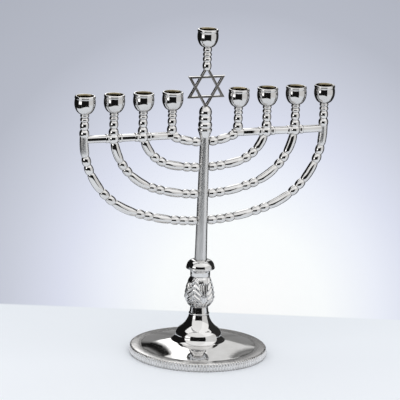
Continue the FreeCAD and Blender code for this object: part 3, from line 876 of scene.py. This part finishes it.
def make_star():
    """The star, stood upright, with dark front and back faces and bright edges."""
    holder = new_object("star_curve", star_curve())
    bpy.context.view_layer.update()
    solid = holder.evaluated_get(bpy.context.evaluated_depsgraph_get())
    mesh = bpy.data.meshes.new_from_object(solid)
    bpy.data.objects.remove(holder)
    upright = Matrix.Rotation(math.radians(90), 4, "X")
    mesh.transform(Matrix.Translation((0, 0, STAR_LEVEL * MM)) @ upright)
    mesh.materials.clear()
    mesh.materials.append(star_nickel)
    mesh.materials.append(nickel)
    for face in mesh.polygons:
        flat = abs(face.normal.y) > 0.9
        face.material_index = 0 if flat else 1
    mesh.shade_smooth()
    mesh.set_sharp_from_angle(angle=THIRTY_DEGREES)
    mesh.name = "star_of_david"
    return new_object("star_of_david", mesh)


def make_neck():
    """Four beads between the star and the shamash's cup. The lowest takes what the others leave."""
    top = SHAMASH_RIM - CUP_HEIGHT
    upper = (3.9, 3.1, 3.9)
    lowest = top - NECK_BOTTOM - sum(upper)
    beads = [(height, POST_RADIUS) for height in (lowest, *upper)]
    points = [(0.0, NECK_BOTTOM)] + bead_side(NECK_BOTTOM, beads) + [(0.0, top)]
    return lathe("shamash_neck", points, nickel, segments=48)


# ---------------------------------------------------------------- tie rod, washer and nut

ROD_BOTTOM = 12.4
ROD_TOP = 86.0
ROD_RADIUS = 2.0
THREAD_PITCH = 0.7
THREAD_DEPTH = 0.38
ROWS_A_TURN = 6


def make_rod():
    """A threaded rod: the thread winds up it, and both ends are turned down."""
    segments = 32
    length = ROD_TOP - ROD_BOTTOM
    rows = int(length / THREAD_PITCH * ROWS_A_TURN)
    vertices, faces = [], []
    for row in range(rows + 1):
        level = ROD_BOTTOM + length * row / rows
        end_fade = min(1.0, (row + 1) / 4, (rows - row + 1) / 4)
        for step in range(segments):
            angle = FULL_TURN * step / segments
            turn = (level / THREAD_PITCH - step / segments) % 1.0
            depth = abs(turn * 2 - 1)
            radius = ROD_RADIUS - THREAD_DEPTH * depth - 0.3 * (1 - end_fade)
            vertices.append((radius * math.cos(angle), radius * math.sin(angle), level))
    for row in range(rows):
        base = row * segments
        for step in range(segments):
            after = (step + 1) % segments
            faces.append((base + step, base + after, base + segments + after, base + segments + step))
    faces.append(tuple(reversed(range(segments))))
    faces.append(tuple(range(rows * segments, (rows + 1) * segments)))
    return finish_mesh("tie_rod", vertices, faces, steel, 30.0)


WASHER_HOLE_RADIUS = 2.15
NUT_BOTTOM = 14.4
NUT_TOP = 17.6
NUT_FLAT = 3.5


def make_washer():
    side = outline([
        (WASHER_HOLE_RADIUS, 17.65),
        (4.3, 17.6, 0.12),
        (4.35, 18.4),
        (WASHER_HOLE_RADIUS, 18.4),
    ], 6)
    return lathe("tie_rod_washer", side, steel, segments=72)


def nut_relief(angle, level, radius):
    """Pushes a circle of the flats' radius out to a hexagon, less so near the nut's ends."""
    if radius < NUT_FLAT:
        return 0.0
    within = (angle + math.pi / 6) % (math.pi / 3) - math.pi / 6
    corner = NUT_FLAT / math.cos(within)
    turned_down = 3.55 + 1.1 * min(level - NUT_BOTTOM, NUT_TOP - level)
    return min(corner, turned_down) - NUT_FLAT


def make_nut():
    """A hexagon nut whose corners are turned down at both ends."""
    insets = (0.0, 0.15, 0.35, 0.6)
    levels = [NUT_BOTTOM + inset for inset in insets] + [NUT_TOP - inset for inset in reversed(insets)]
    points = [(ROD_RADIUS, NUT_TOP), (ROD_RADIUS, NUT_BOTTOM)]
    points += [(NUT_FLAT, level) for level in levels]
    return lathe("tie_rod_nut", points, steel, segments=96, relief=nut_relief, sharp=25.0)


make_arms_and_rails()
make_cups()
place(make_base(), "polished_nickel", "base_pedestal")
place(make_knop(), "relief_nickel", "knop")
place(make_collar(), "polished_nickel", "stem_collar")
place(make_stem(), "polished_nickel", "stem")
place(make_spindle(), "polished_nickel", "shamash_spindle")
place(make_star(), "antiqued_nickel", "star_of_david")
place(make_neck(), "polished_nickel", "shamash_neck")
place(make_rod(), "plated_steel", "tie_rod")
place(make_washer(), "plated_steel", "tie_rod_washer")
place(make_nut(), "plated_steel", "tie_rod_nut")


# ---------------------------------------------------------------- camera

CAMERA_AZIMUTH = math.radians(-19.6)
CAMERA_ELEVATION = math.radians(14.26)
CAMERA_ROLL = math.radians(1.87)
CAMERA_DISTANCE = 3.0
CAMERA_LENS = 368.25
CAMERA_TARGET = Vector((-0.00203, 0.0, 0.11679))
TO_CAMERA = Vector((math.sin(CAMERA_AZIMUTH), -math.cos(CAMERA_AZIMUTH), 0.0))
TO_RIGHT = Vector((math.cos(CAMERA_AZIMUTH), math.sin(CAMERA_AZIMUTH), 0.0))


def make_camera():
    """A long lens, in front and a little to the left and above, tilted by a small roll."""
    back = TO_CAMERA * math.cos(CAMERA_ELEVATION) + Vector((0, 0, math.sin(CAMERA_ELEVATION)))
    up = back.cross(TO_RIGHT)
    cosine, sine = math.cos(CAMERA_ROLL), math.sin(CAMERA_ROLL)
    right = TO_RIGHT * cosine + up * sine
    up = up * cosine - TO_RIGHT * sine
    data = bpy.data.cameras.new("camera")
    data.sensor_width = 36.0
    data.lens = CAMERA_LENS
    data.clip_start = 0.05
    data.clip_end = 60.0
    camera = new_object("camera", data)
    facing = Matrix((right, up, back)).transposed().to_4x4()
    camera.matrix_world = Matrix.Translation(CAMERA_TARGET + back * CAMERA_DISTANCE) @ facing
    bpy.context.scene.camera = camera


make_camera()


# ---------------------------------------------------------------- floor

FLOOR_HALF = 12.0

# The table top ends behind the menorah at TABLE_BACK, on a line that TABLE_SKEW slants
TABLE_BACK = 0.111
TABLE_SKEW = 0.029

# Reflections see the table end at its sides, and in front along a curve: this far out in the middle, less
# towards the sides
TABLE_SIDE = 0.60
TABLE_FRONT = 0.46
TABLE_CURVE = 3.0

# To the right of this line, which starts at FAR_SIDE and leans out by FAR_LEAN, it goes on in front
FAR_SIDE = 0.04
FAR_LEAN = 0.815

# The pool of light behind the table: its middle, how much it is flattened, how fast it widens with the
# distance, and its radius
POOL_MIDDLE = 0.032
POOL_FLATNESS = 0.256
POOL_SPREAD = 0.28
POOL_RADIUS = 0.32

# Display colours, from the middle of the pool outwards and from the front of the table to its back
POOL_STOPS = [
    (0.0, (255, 255, 255)),
    (0.20, (251, 254, 255)),
    (0.33, (236, 240, 250)),
    (0.43, (220, 224, 239)),
    (0.55, (203, 207, 220)),
    (0.70, (183, 187, 199)),
    (0.95, (174, 178, 189)),
]
# Painted shade: the table top is darker towards its back
TABLE_STOPS = [
    (0.0, (243, 247, 251)),
    (0.6, (239, 243, 249)),
    (1.0, (233, 238, 244)),
]


def linear(value):
    """A display value from 0 to 255 as linear light."""
    share = value / 255
    return share / 12.92 if share <= 0.04045 else ((share + 0.055) / 1.055) ** 2.4


def ramp(tree, value, stops):
    """A run of display colours, each at its place from 0 to 1."""
    made = node(tree, "ShaderNodeValToRGB")
    elements = made.color_ramp.elements
    for _ in range(len(stops) - 2):
        elements.new(0.5)
    for element, (position, colour) in zip(elements, stops):
        element.position = position
        element.color = (*[linear(channel) for channel in colour], 1.0)
    feed(tree, made, "Fac", value)
    return made.outputs["Color"]


def along(tree, coordinates, direction):
    made = node(tree, "ShaderNodeVectorMath", operation="DOT_PRODUCT")
    feed(tree, made, 0, coordinates)
    feed(tree, made, 1, direction)
    return made.outputs["Value"]


def pool_colour(tree, sideways, past_edge):
    """The backdrop: a soft pool of light that widens with the distance behind the table."""
    side = maths(tree, "SUBTRACT", sideways, POOL_MIDDLE)
    deep = maths(tree, "MULTIPLY", past_edge, POOL_FLATNESS)
    squares = maths(tree, "ADD", maths(tree, "MULTIPLY", side, side), maths(tree, "MULTIPLY", deep, deep))
    widening = maths(tree, "MULTIPLY_ADD", past_edge, POOL_SPREAD, 1.0)
    distance = maths(tree, "DIVIDE", maths(tree, "SQRT", squares), widening)
    return ramp(tree, maths(tree, "DIVIDE", distance, POOL_RADIUS), POOL_STOPS)


def off_table(tree, sideways, behind, past_edge):
    """1 past the table's front curve, its sides and its back edge, and 0 on the table."""
    in_front = maths(tree, "MULTIPLY", behind, -1.0)
    curve = maths(tree, "MULTIPLY", maths(tree, "MULTIPLY", sideways, sideways), TABLE_CURVE)
    beyond = maths(tree, "SUBTRACT", maths(tree, "ADD", in_front, curve), TABLE_FRONT)
    line = maths(tree, "MULTIPLY_ADD", in_front, FAR_LEAN, FAR_SIDE)
    left_of_line = mapped(tree, maths(tree, "SUBTRACT", line, sideways), 0.0, 0.02)
    off_front = maths(tree, "MULTIPLY", mapped(tree, beyond, -0.03, 0.01), left_of_line)
    off_side = mapped(tree, maths(tree, "ABSOLUTE", sideways), TABLE_SIDE, TABLE_SIDE + 0.01)
    off_back = mapped(tree, past_edge, -0.07, 0.0)
    return maths(tree, "MAXIMUM", off_back, maths(tree, "MAXIMUM", off_front, off_side))


def floor_material():
    """A pale table top and the backdrop behind it. Off the table, reflections see through it."""
    material = bpy.data.materials.new("floor")
    material.use_nodes = True
    tree = material.node_tree
    tree.nodes.clear()
    spot = node(tree, "ShaderNodeNewGeometry").outputs["Position"]
    sideways = along(tree, spot, TO_RIGHT)
    behind = along(tree, spot, -TO_CAMERA)
    slanted = maths(tree, "MULTIPLY_ADD", sideways, TABLE_SKEW, behind)
    past_edge = maths(tree, "SUBTRACT", slanted, TABLE_BACK)
    # Painted shade: the table darkens from front to back
    table = ramp(tree, mapped(tree, behind, -0.30, 0.12), TABLE_STOPS)
    edge = mapped(tree, past_edge, -0.002, 0.002)
    matte = node(tree, "ShaderNodeBsdfDiffuse")
    feed(tree, matte, "Color", blended(tree, edge, table, pool_colour(tree, sideways, past_edge)))
    clear = node(tree, "ShaderNodeBsdfTransparent")
    glossy = node(tree, "ShaderNodeLightPath").outputs["Is Glossy Ray"]
    hidden = maths(tree, "MULTIPLY", off_table(tree, sideways, behind, past_edge), glossy)
    mix = node(tree, "ShaderNodeMixShader")
    feed(tree, mix, 0, hidden)
    feed(tree, mix, 1, matte.outputs[0])
    feed(tree, mix, 2, clear.outputs[0])
    output = node(tree, "ShaderNodeOutputMaterial")
    feed(tree, output, "Surface", mix.outputs[0])
    return material


def make_floor():
    """One flat sheet for the table top and the backdrop."""
    corners = [(-FLOOR_HALF, -FLOOR_HALF, 0), (FLOOR_HALF, -FLOOR_HALF, 0),
               (FLOOR_HALF, FLOOR_HALF, 0), (-FLOOR_HALF, FLOOR_HALF, 0)]
    mesh = bpy.data.meshes.new("floor")
    mesh.from_pydata(corners, [], [(0, 1, 2, 3)])
    mesh.materials.append(floor_material())
    floor = new_object("floor", mesh)


make_floor()


# ---------------------------------------------------------------- studio around the object

TENT_RADIUS = 0.7
TENT_HEIGHT = 1.0
TENT_DEPTH = 1.5
CARD_EDGE = 1.2
CARD_EDGE_UP = 0.012

# Cards on the tent wall, seen only in the metal: from and to azimuth (0 is towards the camera, plus is
# right) in degrees, from and to height in metres, then brightness
CARDS = [
    ("left_gap", -165, -68, -2.0, 0.85, 0.01),
    ("left_back_gap", -180, -165, -2.0, 0.60, 0.01),
    ("back_opening_left", -180, -169.5, 0.18, 0.90, 2.2),
    ("front_sky", -68, 38, 0.38, 1.1, 1.0),
    ("left_panel", -68, -39, 0.06, 0.40, 1.0),
    ("bright_panel", -64, -42, 0.10, 0.25, 2.6),
    ("bright_panel_foot", -68, -39, -2.0, 0.06, 0.01),
    ("front_opening", -39, 38, -2.0, 0.40, 0.01),
    ("right_panel", 38, 101, -0.1, 0.45, 0.78),
    ("right_panel_foot", 38, 101, -2.0, -0.1, 0.01),
    ("right_gap", 101, 165, -2.0, 0.85, 0.03),
    ("right_back_gap", 165, 180, -2.0, 0.60, 0.03),
    ("right_far_panel", 166.5, 176.8, 0.18, 0.90, 0.8),
    ("back_opening_right", 176.8, 180, 0.18, 0.90, 2.2),
    ("backdrop_left", -180, -174.5, -0.25, 0.36, 0.27),
    ("backdrop_right", 174.5, 180, -0.25, 0.36, 0.27),
    ("backdrop_far_left", -174.5, -168, -0.25, 0.22, 0.27),
    ("backdrop_far_right", 168, 174.5, -0.25, 0.22, 0.27),
]

# A card that ends behind the menorah, at 180 either way, runs on to here
PAST_BACK = 200


def card_mask(tree, value, low, high, edge):
    rising = mapped(tree, value, low - edge, low + edge, smooth=True)
    falling = mapped(tree, value, high - edge, high + edge, 1.0, 0.0, smooth=True)
    return maths(tree, "MULTIPLY", rising, falling)


def tent_material():
    material = bpy.data.materials.new("tent")
    material.use_nodes = True
    material.cycles.emission_sampling = "NONE"
    tree = material.node_tree
    tree.nodes.clear()
    spot = node(tree, "ShaderNodeNewGeometry").outputs["Position"]
    rightwards = along(tree, spot, TO_RIGHT)
    forwards = along(tree, spot, TO_CAMERA)
    height = along(tree, spot, (0, 0, 1))
    azimuth = maths(tree, "DEGREES", maths(tree, "ARCTAN2", rightwards, forwards))
    colour = grey(1.15)
    for _, from_azimuth, to_azimuth, bottom, top, brightness in CARDS:
        low = from_azimuth if from_azimuth > -180 else -PAST_BACK
        high = to_azimuth if to_azimuth < 180 else PAST_BACK
        across = card_mask(tree, azimuth, low, high, CARD_EDGE)
        mask = maths(tree, "MULTIPLY", across, card_mask(tree, height, bottom, top, CARD_EDGE_UP))
        colour = blended(tree, mask, colour, grey(brightness))
    glow = node(tree, "ShaderNodeEmission")
    feed(tree, glow, "Color", colour)
    output = node(tree, "ShaderNodeOutputMaterial")
    feed(tree, output, "Surface", glow.outputs[0])
    return material


def make_tent():
    """A round white tent with a flat top. Only reflections see it, so it hides nothing from any side."""
    segments = 72
    vertices, faces = [], []
    for radius, height in ((TENT_RADIUS, -TENT_DEPTH), (TENT_RADIUS, TENT_HEIGHT)):
        for step in range(segments):
            angle = FULL_TURN * step / segments
            vertices.append((radius * math.cos(angle), radius * math.sin(angle), height))
    for step in range(segments):
        after = (step + 1) % segments
        faces.append((step, after, segments + after, segments + step))
    faces.append(tuple(range(segments, 2 * segments)))
    faces.append(tuple(reversed(range(segments))))
    mesh = bpy.data.meshes.new("tent")
    mesh.from_pydata(vertices, [], faces)
    mesh.materials.append(tent_material())
    tent = new_object("tent", mesh)
    tent.visible_camera = False
    tent.visible_diffuse = False
    tent.visible_shadow = False
    tent.visible_transmission = False


def make_light():
    """Even light from all round, for everything that isn't mirror-like."""
    world = bpy.data.worlds.new("studio")
    bpy.context.scene.world = world
    world.use_nodes = True
    world.cycles.sampling_method = "NONE"
    shine = world.node_tree.nodes["Background"]
    shine.inputs["Color"].default_value = grey(1.0)


make_tent()
make_light()
bpy.context.scene.view_settings.view_transform = "Standard"
